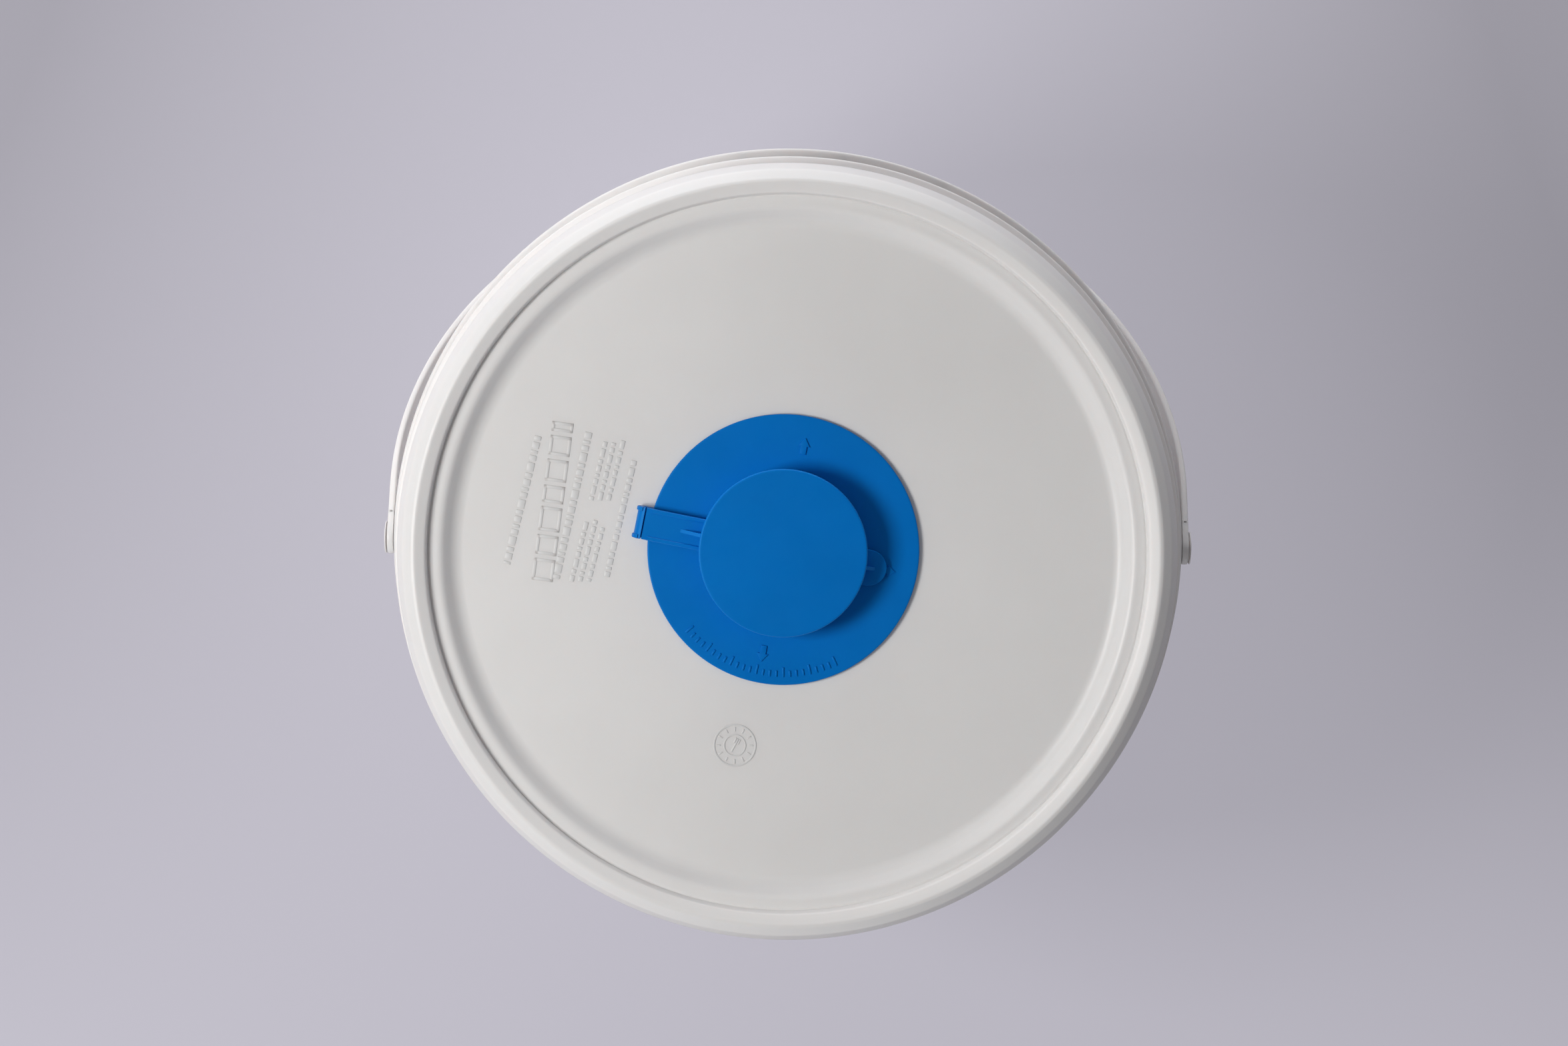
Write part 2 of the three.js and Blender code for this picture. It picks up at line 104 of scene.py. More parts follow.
def sheet_material():
    """A painted glow that the camera sees: a soft gradient of painted light round the canister, dimmer
    towards the top corners, that fades to one even tone farther away.
    """
    material, tree, shader = new_material("studio_sheet", SHEET_COLOUR, 0.9)
    place = add_node(tree, "ShaderNodeTexCoord").outputs["Object"]
    axis = add_node(tree, "ShaderNodeSeparateXYZ", {"Vector": place}).outputs

    def maths(operation, *values):
        inputs = dict(enumerate(values))
        return add_node(tree, "ShaderNodeMath", inputs, operation=operation).outputs["Value"]

    def within(value, low, high):
        return maths("MINIMUM", maths("MAXIMUM", value, low), high)

    # The glow's level is painted light and shade: it falls off across the sheet, more steeply towards
    # the top.
    across = maths("MULTIPLY", axis["X"], axis["X"])
    upward = maths("MULTIPLY", axis["Y"], axis["Y"])
    dimming = maths("MULTIPLY_ADD", axis["Y"], SHEET_DIMMING_TILT, SHEET_DIMMING)
    level = maths("MULTIPLY_ADD", axis["X"], SHEET_LEVEL_TILT, SHEET_LEVEL)
    level = maths("SUBTRACT", level, maths("MULTIPLY", across, dimming))
    level = within(level, SHEET_LEVEL_LOW, SHEET_LEVEL_HIGH)
    distance = maths("SQRT", maths("ADD", across, upward))
    past_start = maths("SUBTRACT", distance, SHEET_FADE_START)
    far = within(maths("DIVIDE", past_start, SHEET_FADE_WIDTH), 0.0, 1.0)
    level = maths("MULTIPLY_ADD", far, maths("SUBTRACT", SHEET_FAR_LEVEL, level), level)
    glow = add_node(tree, "ShaderNodeEmission", {"Color": (*SHEET_GLOW, 1), "Strength": level})
    seen = add_node(tree, "ShaderNodeLightPath").outputs["Is Camera Ray"]
    share = maths("MULTIPLY_ADD", far, 1.0 - SHEET_GLOW_SHARE, SHEET_GLOW_SHARE)
    blend = {0: maths("MULTIPLY", seen, share), 1: shader.outputs["BSDF"], 2: glow.outputs["Emission"]}
    mixed = add_node(tree, "ShaderNodeMixShader", blend)
    output = tree.nodes["Material Output"]
    tree.links.new(mixed.outputs["Shader"], output.inputs["Surface"])
    return material


def studio_sheet():
    half = SHEET_HALF
    corners = [(-half, -half, 0), (half, -half, 0), (half, half, 0), (-half, half, 0)]
    mesh = bpy.data.meshes.new("studio_sheet")
    mesh.from_pydata(corners, [], [(0, 1, 2, 3)])
    mesh.materials.append(sheet_material())
    sheet = bpy.data.objects.new("studio_sheet", mesh)
    bpy.context.collection.objects.link(sheet)


def photo_directions():
    """The directions on the lid that point right and up in the picture."""
    roll = math.radians(CAMERA_ROLL)
    right = Vector((math.cos(roll), math.sin(roll), 0))
    up = Vector((-math.sin(roll), math.cos(roll), 0))
    return right, up


def studio_camera():
    """Looks down on the lid with the slight lean and roll of the photograph."""
    right, up = photo_directions()
    lean_right = math.sin(math.radians(CAMERA_LEAN_RIGHT))
    lean_up = math.sin(math.radians(CAMERA_LEAN_UP))
    towards = (right * lean_right + up * lean_up + Vector((0, 0, 1))).normalized()
    camera_up = (up - towards * up.dot(towards)).normalized()
    camera_right = camera_up.cross(towards)
    target = Vector((0, 0, CREST_Z)) - camera_right * CREST_RIGHT_OF_MIDDLE
    target += camera_up * CREST_BELOW_MIDDLE
    data = bpy.data.cameras.new("studio_camera")
    data.lens = CAMERA_LENS
    data.sensor_width = SENSOR_WIDTH
    data.clip_end = 20
    camera = bpy.data.objects.new("studio_camera", data)
    turned = Matrix((camera_right, camera_up, towards)).transposed().to_4x4()
    camera.matrix_world = Matrix.Translation((target + towards * CAMERA_DISTANCE) * MM) @ turned
    bpy.context.collection.objects.link(camera)
    bpy.context.scene.camera = camera


def soft_light(name, place, aim, size, watts, colour):
    """Adds a rectangular lamp, with its place and size in metres."""
    data = bpy.data.lights.new(name, "AREA")
    data.shape = "RECTANGLE"
    data.size, data.size_y = size
    data.energy = watts
    data.color = colour
    light = bpy.data.objects.new(name, data)
    light.location = place
    light.rotation_euler = (Vector(aim) - Vector(place)).to_track_quat("-Z", "Y").to_euler()
    bpy.context.collection.objects.link(light)


def studio_room():
    world = bpy.data.worlds.new("studio_room")
    world.use_nodes = True
    background = world.node_tree.nodes["Background"]
    background.inputs["Color"].default_value = (*ROOM_COLOUR, 1)
    background.inputs["Strength"].default_value = ROOM_STRENGTH
    bpy.context.scene.world = world
    bpy.context.scene.view_settings.view_transform = "Standard"


studio_room()
studio_sheet()
studio_camera()
soft_light("softbox_left", (-0.45, -0.01, 0.77), (0, 0, 0.18), (0.24, 0.24), 3.7, (1.0, 0.985, 0.965))
soft_light("strip_behind", (-0.17, 1.40, 0.234), (0, 0, 0.17), (2.1, 0.28), 15.3, (0.98, 0.98, 1.0))
soft_light("strip_in_front", (-0.35, -1.40, 0.312), (0, 0, 0.17), (2.1, 0.52), 5.5, (0.98, 0.98, 1.0))

# The pail is one white polypropylene injection moulding: a tapered wall on a foot ring,
# a neck with a snap bead, and a collar with a ledge, a skirt and gussets that stiffens
# the mouth. Two ears on the collar carry the headed studs of the bail.
FINE_SIDES = 288
WHITE = (0.808, 0.790, 0.778)
SPECK_COLOUR = (0.16, 0.13, 0.11)
NECK_R = 98.6
FOOT_R = 85.0
LEDGE_Z = 155.5
RIM_Z = 188.1
PAIL_WALL = 1.6
FLOOR_Z = 5.0
FOOT_HEIGHT = 3.0
COLLAR_R = NECK_R + 8.0
COLLAR_DEPTH = 12.0
BEAD_R = NECK_R + 1.4
GUSSETS = 24
WEB_T = 1.2
FLOOR_RIBS = 10
PIVOT_Z = LEDGE_Z - 6.0
STUD_R = 3.4
STUD_HEAD_R = 4.4
BAIL_INNER_R = COLLAR_R + 0.35
BAIL_THICKNESS = 1.7


def map_range(tree, value, source, target):
    inputs = {"Value": value, "From Min": source[0], "From Max": source[1]}
    inputs.update({"To Min": target[0], "To Max": target[1]})
    return add_node(tree, "ShaderNodeMapRange", inputs).outputs["Result"]


def noise(tree, place, scale, detail):
    inputs = {"Vector": place, "Scale": scale, "Detail": detail}
    return add_node(tree, "ShaderNodeTexNoise", inputs).outputs["Fac"]


def speckled(tree, place, paint, colour, scale, rarity, reach):
    """Puts a small speck of a colour into a few of the cells of a loose grid."""
    cells = add_node(tree, "ShaderNodeTexVoronoi", {"Vector": place, "Scale": scale}).outputs
    chance = add_node(tree, "ShaderNodeSeparateColor", {"Color": cells["Color"]}).outputs["Red"]
    edge = map_range(tree, chance, (rarity, 1.0), (0.0, reach))
    inputs = {0: cells["Distance"], 1: edge}
    inside = add_node(tree, "ShaderNodeMath", inputs, operation="LESS_THAN").outputs["Value"]
    inputs = {"Factor": inside, "A": paint, "B": (*colour, 1)}
    return add_node(tree, "ShaderNodeMix", inputs, data_type="RGBA").outputs["Result"]


def bump(tree, height, strength, distance, under=None):
    """A bump on the surface, on top of a broader one when that is given."""
    inputs = {"Height": height, "Strength": strength, "Distance": distance}
    if under:
        inputs["Normal"] = under
    return add_node(tree, "ShaderNodeBump", inputs).outputs["Normal"]


def white_plastic(name, colour=WHITE, speck_reach=0.010, grain=1.0):
    """Satin moulded polypropylene: faint flow shading, a fine tool grain and rare specks."""
    material, tree, shader = new_material(name, colour, 0.40)
    shader.inputs["Subsurface Weight"].default_value = 0.26
    shader.inputs["Subsurface Radius"].default_value = (0.0050, 0.0038, 0.0034)
    shader.inputs["Subsurface Scale"].default_value = 1.0
    shader.inputs["Specular IOR Level"].default_value = 0.42
    place = add_node(tree, "ShaderNodeTexCoord").outputs["Object"]
    dull = tuple(c * 0.975 for c in colour)
    bright = tuple(min(1.0, c * 1.02) for c in colour)
    paint = colour_ramp(tree, noise(tree, place, 14.0, 3.0), [(0.30, dull), (0.70, bright)])
    paint = speckled(tree, place, paint, SPECK_COLOUR, scale=62.0, rarity=0.80, reach=speck_reach)
    rubbed = map_range(tree, noise(tree, place, 55.0, 5.0), (0.3, 0.7), (0.36, 0.45))
    waves = bump(tree, noise(tree, place, 26.0, 2.0), 0.35 * grain, 0.0006)
    fine_grain = bump(tree, noise(tree, place, 1900.0, 2.0), 0.30 * grain, 0.00003, waves)
    tree.links.new(paint, shader.inputs["Base Color"])
    tree.links.new(rubbed, shader.inputs["Roughness"])
    tree.links.new(fine_grain, shader.inputs["Normal"])
    return material


def fillet(points, closed):
    """Rounds a profile of (r, z, radius) corners and holds its long flats with extra points."""
    count = len(points)
    rounded = []
    for i, (r, z, *wanted) in enumerate(points):
        radius = wanted[0] if wanted else 0.15
        open_end = not closed and i in (0, count - 1)
        if open_end or radius == 0:
            rounded.append((r, z))
            continue
        here = Vector((r, z))
        to_last = Vector(points[i - 1][:2]) - here
        to_next = Vector(points[(i + 1) % count][:2]) - here
        half_angle = to_last.angle(to_next) / 2
        room = 0.46 * min(to_last.length, to_next.length)
        back = min(radius / math.tan(half_angle), room)
        start = here + to_last.normalized() * back
        end = here + to_next.normalized() * back
        steps = max(2, min(8, round(math.degrees(math.pi - 2 * half_angle) / 14)))
        hold = 0.35
        if to_last.length > 4 * hold + back:
            rounded.append(tuple(start + to_last.normalized() * hold))
        for step in range(steps + 1):
            t = step / steps
            a = start.lerp(here, t)
            b = here.lerp(end, t)
            rounded.append(tuple(a.lerp(b, t)))
        if to_next.length > 4 * hold + back:
            rounded.append(tuple(end + to_next.normalized() * hold))
    return rounded


def revolve_into(mesh, profile, sides=FINE_SIDES, closed=False, centre=None):
    """Adds a surface of revolution, in mm; centre gives a ring's own middle by its radius."""
    points = fillet(profile, closed)
    rings = []
    for r, z in points:
        cx, cy = centre(r) if centre else (0.0, 0.0)
        if r < 1e-6:
            rings.append([mesh.verts.new((cx * MM, cy * MM, z * MM))])
            continue
        ring = []
        for k in range(sides):
            a = 2 * math.pi * k / sides
            place = Vector((cx + r * math.cos(a), cy + r * math.sin(a), z)) * MM
            ring.append(mesh.verts.new(place))
        rings.append(ring)
    pairs = list(zip(rings, rings[1:]))
    if closed:
        pairs.append((rings[-1], rings[0]))
    for low, high in pairs:
        for k in range(sides):
            n = (k + 1) % sides
            corners = [low[k % len(low)], low[n % len(low)], high[n % len(high)], high[k % len(high)]]
            unique = list(dict.fromkeys(corners))
            if len(unique) > 2:
                mesh.faces.new(unique)


def block_into(mesh, size, place, turn_z=0.0, bevel=0.15):
    """Adds a box with softened edges, in mm, then turned about the Z axis."""
    made = bmesh.ops.create_cube(mesh, size=1.0)["verts"]
    bmesh.ops.scale(mesh, vec=Vector(size) * MM, verts=made)
    edges = list({edge for vert in made for edge in vert.link_edges})
    if bevel:
        settings = {"offset": bevel * MM, "segments": 2, "affect": "EDGES", "profile": 0.5}
        result = bmesh.ops.bevel(mesh, geom=edges, **settings)
        rounded = {vert for face in result["faces"] for vert in face.verts}
        made = list(rounded | {vert for vert in made if vert.is_valid})
    bmesh.ops.translate(mesh, vec=Vector(place) * MM, verts=made)
    bmesh.ops.rotate(mesh, cent=(0, 0, 0), matrix=Matrix.Rotation(turn_z, 3, "Z"), verts=made)
    return made


def wedge_into(mesh, outline, thickness, turn_z=0.0):
    """Adds a web of even thickness from an outline of (r, z) points, in mm."""
    half = thickness / 2 * MM
    near = [mesh.verts.new((r * MM, -half, z * MM)) for r, z in outline]
    far = [mesh.verts.new((r * MM, half, z * MM)) for r, z in outline]
    mesh.faces.new(near)
    mesh.faces.new(list(reversed(far)))
    for k in range(len(outline)):
        n = (k + 1) % len(outline)
        mesh.faces.new([near[n], near[k], far[k], far[n]])
    bmesh.ops.rotate(mesh, cent=(0, 0, 0), matrix=Matrix.Rotation(turn_z, 3, "Z"), verts=near + far)
    return near + far


def rod_into(mesh, profile, axis_turn, place, sides=64):
    """Adds a turned rod, profile of (r, along) points in mm, on an axis turned from Z."""
    before = set(mesh.verts)
    revolve_into(mesh, profile, sides=sides)
    made = [vert for vert in mesh.verts if vert not in before]
    bmesh.ops.rotate(mesh, cent=(0, 0, 0), matrix=axis_turn, verts=made)
    bmesh.ops.translate(mesh, vec=Vector(place) * MM, verts=made)


def finished(name, mesh, material, body, sharp=34.0):
    """Makes an object from a mesh, shades it smooth between crisp edges and puts it on a body."""
    bmesh.ops.recalc_face_normals(mesh, faces=mesh.faces)
    data = bpy.data.meshes.new(name)
    mesh.to_mesh(data)
    mesh.free()
    data.shade_smooth()
    data.set_sharp_from_angle(angle=math.radians(sharp))
    data.materials.append(material)
    made = bpy.data.objects.new(name, data)
    bpy.context.collection.objects.link(made)
    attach(made, body)
    return made


def wall_r(z):
    """The outer radius of the tapered wall at a height."""
    return FOOT_R + (NECK_R - FOOT_R) / LEDGE_Z * z


def webs_into(mesh):
    """Adds the gussets under the collar's ledge and the ribs under the floor."""
    bottom = LEDGE_Z - COLLAR_DEPTH + 2
    top = LEDGE_Z - 0.8
    outer = COLLAR_R - 0.8
    gusset = [(wall_r(bottom) - 0.8, bottom), (outer, bottom), (outer, top), (wall_r(top) - 0.8, top)]
    for k in range(GUSSETS):
        wedge_into(mesh, gusset, WEB_T, 2 * math.pi * (k + 0.5) / GUSSETS)
    rib = [(12, 1.2), (FOOT_R - 1.2, 1.2), (FOOT_R - 1.2, 4.0), (12, 4.0)]
    for k in range(FLOOR_RIBS):
        wedge_into(mesh, rib, WEB_T, 2 * math.pi * k / FLOOR_RIBS)


def ear_into(mesh, side):
    """Adds the block behind the collar's skirt and the headed stud that carries the bail."""
    low = LEDGE_Z - COLLAR_DEPTH
    top = LEDGE_Z - 0.8
    inner = wall_r(low) - 0.8
    outer = COLLAR_R - 0.8
    size = (outer - inner, 2 * STUD_R + 5, top - low)
    block_into(mesh, size, (side * (inner + outer) / 2, 0, (top + low) / 2))
    head = BAIL_INNER_R + BAIL_THICKNESS + 0.35
    stud = [
        (0, outer - 0.5),
        (STUD_R, outer - 0.5),
        (STUD_R, head, 0.1),
        (STUD_HEAD_R, head, 0.15),
        (STUD_HEAD_R, head + 0.3, 0.25),
        (STUD_R - 0.6, head + 0.5, 0.4),
        (1.5, head + 0.2, 0.3),
        (0, head + 0.2),
    ]
    rod_into(mesh, stud, Matrix.Rotation(side * math.pi / 2, 3, "Y"), (0, 0, PIVOT_Z))


def make_pail():
    mesh = bmesh.new()
    under_ledge = LEDGE_Z - 1.6
    bead_top = RIM_Z - 1.6
    revolve_into(
        mesh,
        [
            (0, FOOT_HEIGHT),
            (FOOT_R - 3.4, FOOT_HEIGHT, 0.8),
            (FOOT_R - 2.4, 0, 0.3),
            (FOOT_R, 0, 0.9),
            (wall_r(under_ledge), under_ledge, 0.8),
            (COLLAR_R - 1.6, under_ledge, 0.5),
            (COLLAR_R - 1.6, LEDGE_Z - COLLAR_DEPTH, 0.4),
            (COLLAR_R, LEDGE_Z - COLLAR_DEPTH, 0.4),
            (COLLAR_R, LEDGE_Z, 0.8),
            (NECK_R, LEDGE_Z, 0.9),
            (NECK_R, bead_top - 3.6, 0.4),
            (BEAD_R, bead_top - 2.9, 0.6),
            (BEAD_R, bead_top - 1.4, 0.6),
            (NECK_R, bead_top, 0.4),
            (NECK_R, RIM_Z, 0.6),
            (NECK_R - PAIL_WALL, RIM_Z, 0.6),
            (NECK_R - PAIL_WALL, LEDGE_Z, 2.0),
            (wall_r(FLOOR_Z) - PAIL_WALL, FLOOR_Z, 0.8),
            (0, FLOOR_Z),
        ],
    )
    webs_into(mesh)
    for side in (1, -1):
        ear_into(mesh, side)
    pail_plastic = white_plastic("pail_plastic", speck_reach=0.016)
    pail = finished("pail_moulding", mesh, pail_plastic, "pail")
    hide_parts("pail")


make_pail()

# The roll is a band of damp nonwoven cloth wound without a core, pulled from the middle.
# Its turns show as fine rings on both ends, and it stands loose on the pail's floor.
ROLL_R = 80.3
ROLL_CORE_R = 22.0
ROLL_BOTTOM = FLOOR_Z + 0.3
ROLL_TOP = 151.8
ROLL_TURNS = 46


def wipes_material():
    material, tree, shader = new_material("damp_nonwoven", (0.86, 0.86, 0.85), 0.92)
    shader.inputs["Subsurface Weight"].default_value = 0.15
    shader.inputs["Subsurface Radius"].default_value = (0.002, 0.002, 0.002)
    shader.inputs["Sheen Weight"].default_value = 0.25
    place = add_node(tree, "ShaderNodeTexCoord").outputs["Object"]
    damp = noise(tree, place, 22.0, 3.0)
    paint = colour_ramp(tree, damp, [(0.35, (0.76, 0.76, 0.755)), (0.65, (0.88, 0.88, 0.87))])
    dimple = add_node(tree, "ShaderNodeTexVoronoi", {"Vector": place, "Scale": 420.0})
    dimples = bump(tree, dimple.outputs["Distance"], 0.35, 0.0003)
    fibres = bump(tree, noise(tree, place, 900.0, 6.0), 0.5, 0.0002, dimples)
    tree.links.new(paint, shader.inputs["Base Color"])
    tree.links.new(fibres, shader.inputs["Normal"])
    return material


def make_roll():
    mesh = bmesh.new()
    pitch = (ROLL_R - ROLL_CORE_R) / ROLL_TURNS

    def end_rings(z, inward):
        points = []
        for k in range(ROLL_TURNS):
            turn_z = z + inward * 0.15 * (math.sin(k * 2.3) + 1)
            points.append((ROLL_CORE_R + pitch * (k + 0.25), turn_z, 0))
            points.append((ROLL_CORE_R + pitch * (k + 0.75), turn_z, 0))
            if k < ROLL_TURNS - 1:
                points.append((ROLL_CORE_R + pitch * (k + 1), z + inward * 0.8, 0))
        return points

    profile = [(ROLL_CORE_R, ROLL_BOTTOM + 1, 0), *end_rings(ROLL_BOTTOM, 1)]
    profile += [(ROLL_R, ROLL_BOTTOM + 1, 0), (ROLL_R, ROLL_TOP - 1, 0)]
    profile += [*reversed(end_rings(ROLL_TOP, -1)), (ROLL_CORE_R, ROLL_TOP - 1, 0)]
    revolve_into(mesh, profile, sides=144, closed=True)
    roll = finished("wound_wipes", mesh, wipes_material(), "pail", sharp=60)
    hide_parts("wipes_roll")


make_roll()

# The lid is a white press-on moulding. Its panel is sunk inside a stepped ring and the
# crest that stacks and seals over the pail's rim, and its skirt ends in a lip that the
# thumbs push up. Raised rows and a date dial from the mould stand on the panel.
PANEL_Z = CREST_Z - 7.0
RING_Z = CREST_Z - 3.5
SHOULDER_Z = CREST_Z - 6.0
LIP_Z = CREST_Z - 18.0
LID_WALL = 1.6
SHOULDER_R = NECK_R + 3.9
SKIRT_R = SHOULDER_R - 0.7
LIP_R = NECK_R + 5.7
RING_OUTER_R = NECK_R - 4.6
RING_INNER_R = RING_OUTER_R - 3.4
PANEL_R = RING_INNER_R - 2.8
PLUG_R = NECK_R - PAIL_WALL - 0.3
HOOK_R = BEAD_R + 0.3
CLOSURE_X = -1.0
CLOSURE_Y = 1.2
LID_HOLE_R = 25.0
CENTRED_R = 60.0
SHIFTED_R = 35.0
RELIEF_HEIGHT = 0.16
RELIEF_DEPTH = 0.6
LARGE_ROW = 3.0
LENS_PIXELS = 5548.6
MIDDLE_PIXEL = (1179.7, 830.8)


def lid_ring_centre(r):
    """The panel's rings shift from the lid's middle to the closure's as they close in."""
    share = min(1.0, max(0.0, (CENTRED_R - r) / (CENTRED_R - SHIFTED_R)))
    return CLOSURE_X * share, CLOSURE_Y * share


def make_lid(material):
    mesh = bmesh.new()
    channel = RIM_Z + 0.3
    revolve_into(
        mesh,
        [
            (LID_HOLE_R, PANEL_Z - LID_WALL, 0.2),
            (CENTRED_R, PANEL_Z - LID_WALL, 0),
            (PANEL_R + 0.6, PANEL_Z - LID_WALL, 0.8),
            (RING_INNER_R + 0.5, RING_Z - LID_WALL, 0.6),
            (PLUG_R - 1.8, RING_Z - LID_WALL, 0.4),
            (PLUG_R - 1.8, channel - 8.3, 0.3),
            (PLUG_R - 0.9, channel - 8.3, 0.3),
            (PLUG_R, channel - 6.3, 0.5),
            (PLUG_R, channel, 0.3),
            (NECK_R + 0.3, channel, 0.3),
            (SKIRT_R - 1.2, SHOULDER_Z + 0.4, 0.8),
            (SKIRT_R - 1.2, LIP_Z + 5, 0.3),
            (HOOK_R, LIP_Z + 4.4, 0.3),
            (HOOK_R, LIP_Z + 2, 0.3),
            (HOOK_R + 0.9, LIP_Z, 0.3),
            (LIP_R, LIP_Z, 0.5),
            (LIP_R, LIP_Z + 1.8, 0.6),
            (SKIRT_R, LIP_Z + 2.7, 0.9),
            (SKIRT_R, SHOULDER_Z - 2.0, 0.25),
            (SHOULDER_R, SHOULDER_Z - 1.3, 0.3),
            (SHOULDER_R, SHOULDER_Z + 0.9, 1.6),
            (SHOULDER_R - 1.6, SHOULDER_Z + 3.7, 1.8),
            (NECK_R - 0.2, CREST_Z - 0.25, 0.8),
            (NECK_R - 1.0, CREST_Z, 1.2),
            (NECK_R - 3.85, CREST_Z - 1.0, 0.7),
            (RING_OUTER_R + 0.3, RING_Z - 0.3, 0.3),
            (RING_OUTER_R - 0.3, RING_Z, 0.5),
            (RING_INNER_R + 0.2, RING_Z, 2.2),
            (PANEL_R - 0.5, PANEL_Z, 4.0),
            (CENTRED_R, PANEL_Z, 0),
            (LID_HOLE_R, PANEL_Z, 0.2),
        ],
        closed=True,
        centre=lid_ring_centre,
    )
    lid = finished("lid_moulding", mesh, material, "lid", sharp=40)
    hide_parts("lid")


def photo_point(x_px, y_px):
    """A place on the panel from its place in the picture, in mm about the lid's middle."""
    scale = LENS_PIXELS / (CAMERA_DISTANCE + CREST_Z - PANEL_Z)
    across = (x_px - MIDDLE_PIXEL[0]) / scale
    upward = (MIDDLE_PIXEL[1] - y_px) / scale
    right, up = photo_directions()
    return right * across + up * upward


def hollow_cell_into(mesh, length, height, stroke=0.8):
    """Adds a raised frame, the plain cell of the largest row."""
    x, y = (length - stroke) / 2, (height - stroke) / 2
    made = []
    for side in (-1, 1):
        made += block_into(mesh, (stroke, height, RELIEF_DEPTH), (side * x, 0, 0), bevel=0.12)
        made += block_into(mesh, (length, stroke, RELIEF_DEPTH), (0, side * y, 0), bevel=0.12)
    return made


def relief_row_into(mesh, start, end, height, first):
    """Adds one raised row, broken into short and long bars as a moulded row of marks is."""
    length = (end - start).length
    direction = (end - start).normalized()
    turn = Matrix.Rotation(math.atan2(direction.y, direction.x), 3, "Z")
    large = height > LARGE_ROW
    widths = (5.2, 6.4, 4.6, 5.8) if large else (0.8, 1.7, 1.1, 2.3, 1.4)
    gap = 1.1 if large else 0.55
    place = 0.0
    k = first
    while place < length - 1.0:
        bar = min(length - place, widths[k % len(widths)])
        if large:
            made = hollow_cell_into(mesh, bar, height)
        else:
            made = block_into(mesh, (bar, height, RELIEF_DEPTH), (0, 0, 0), bevel=0.12)
        bmesh.ops.rotate(mesh, cent=(0, 0, 0), matrix=turn, verts=made)
        middle = start + direction * (place + bar / 2)
        middle.z = PANEL_Z + RELIEF_HEIGHT - RELIEF_DEPTH / 2
        bmesh.ops.translate(mesh, vec=middle * MM, verts=made)
        place += bar + gap
        k += 1


def make_panel_relief(material):
    """The rows at the left of the panel: both ends in the picture, height and first bar."""
    mesh = bmesh.new()
    rows = [
        ((759, 846), (809, 648), 1.9, 0),
        ((812, 871), (845, 633), 5.6, 3),
        ((833, 868), (884, 645), 1.9, 2),
        ((856, 872), (880, 780), 1.2, 1),
        ((869, 872), (893, 780), 1.2, 4),
        ((882, 872), (905, 785), 1.2, 0),
        ((886, 750), (910, 655), 1.2, 2),
        ((899, 750), (923, 655), 1.2, 3),
        ((912, 750), (935, 660), 1.2, 1),
        ((909, 865), (951, 690), 1.5, 4),
    ]
    for start, end, height, first in rows:
        relief_row_into(mesh, photo_point(*start), photo_point(*end), height, first)
    finished("lid_raised_rows", mesh, material, "lid")


def make_date_dial(material):
    """The round date mark of the mould: two rings, twelve ticks and a pointer."""
    mesh = bmesh.new()
    top = PANEL_Z + RELIEF_HEIGHT
    for outer, inner in ((5.7, 5.2), (3.0, 2.6)):
        ring = [(inner, top - 0.5, 0), (inner, top, 0.1), (outer, top, 0.1), (outer, top - 0.5, 0)]
        revolve_into(mesh, ring, sides=96, closed=True)
    for k in range(12):
        block_into(mesh, (1.2, 0.4, 0.5), (4.3, 0, top - 0.25), 2 * math.pi * k / 12, bevel=0.1)
    for length, along, across in ((4.0, 0, 0), (1.5, 1.25, 0.55), (1.5, 1.25, -0.55)):
        block_into(mesh, (length, 0.5, 0.5), (along, across, top - 0.25), math.radians(62), bevel=0.1)
    middle = photo_point(1101, 1120)
    bmesh.ops.translate(mesh, vec=Vector((middle.x, middle.y, 0)) * MM, verts=mesh.verts)
    finished("lid_date_dial", mesh, material, "lid")


lid_white = tuple(c * 0.99 for c in WHITE)
lid_plastic = white_plastic("lid_plastic", lid_white, speck_reach=0.011, grain=1.2)
make_lid(lid_plastic)
make_panel_relief(lid_plastic)
make_date_dial(lid_plastic)

# The closure's base is a blue polypropylene moulding that snaps into the lid's hole. The
# wipe pulls through its nozzle, and four raised arrows point out from the nozzle's slots.
# The strap's tail leaves the flange's edge and folds back to the cap's hinge line.
BLUE = (0.0, 0.160, 0.54)
CLOSURE_TURN = math.radians(-10.5)
FLANGE_Z = PANEL_Z + 0.3
FLANGE_R = 35.75
FLANGE_T = 1.2
BUSH_R = LID_HOLE_R - 0.4
NOZZLE_TOP = FLANGE_T + 3.9
NOZZLE_PLATE_R = 13.0
NOZZLE_WALL = 1.4
MOUTH_R = 4.5
SLOT_WIDTH = 1.4
SLOT_REACH = 11.0
CAP_R = 22.0
CAP_WALL_R = CAP_R - 0.7
CAP_WALL = 1.2
CAP_TOP = FLANGE_T + 9.6
FOLD_R = 2.1
FOLD_X = -(FLANGE_R + 1.55)
STRAP_WIDTH = 8.4
STRAP_T = 1.2
STRAP_EDGE = 1.1
STRAP_EDGE_HEIGHT = 0.4
ARROW_TIP = 30.0
ARROW_LENGTH = 4.3
TICKS = 25
TICK_STEP = 3.1
FIRST_TICK = 231.5
TICK_OUTER_R = 33.6
FLECK_COLOUR = (0.16, 0.42, 0.75)


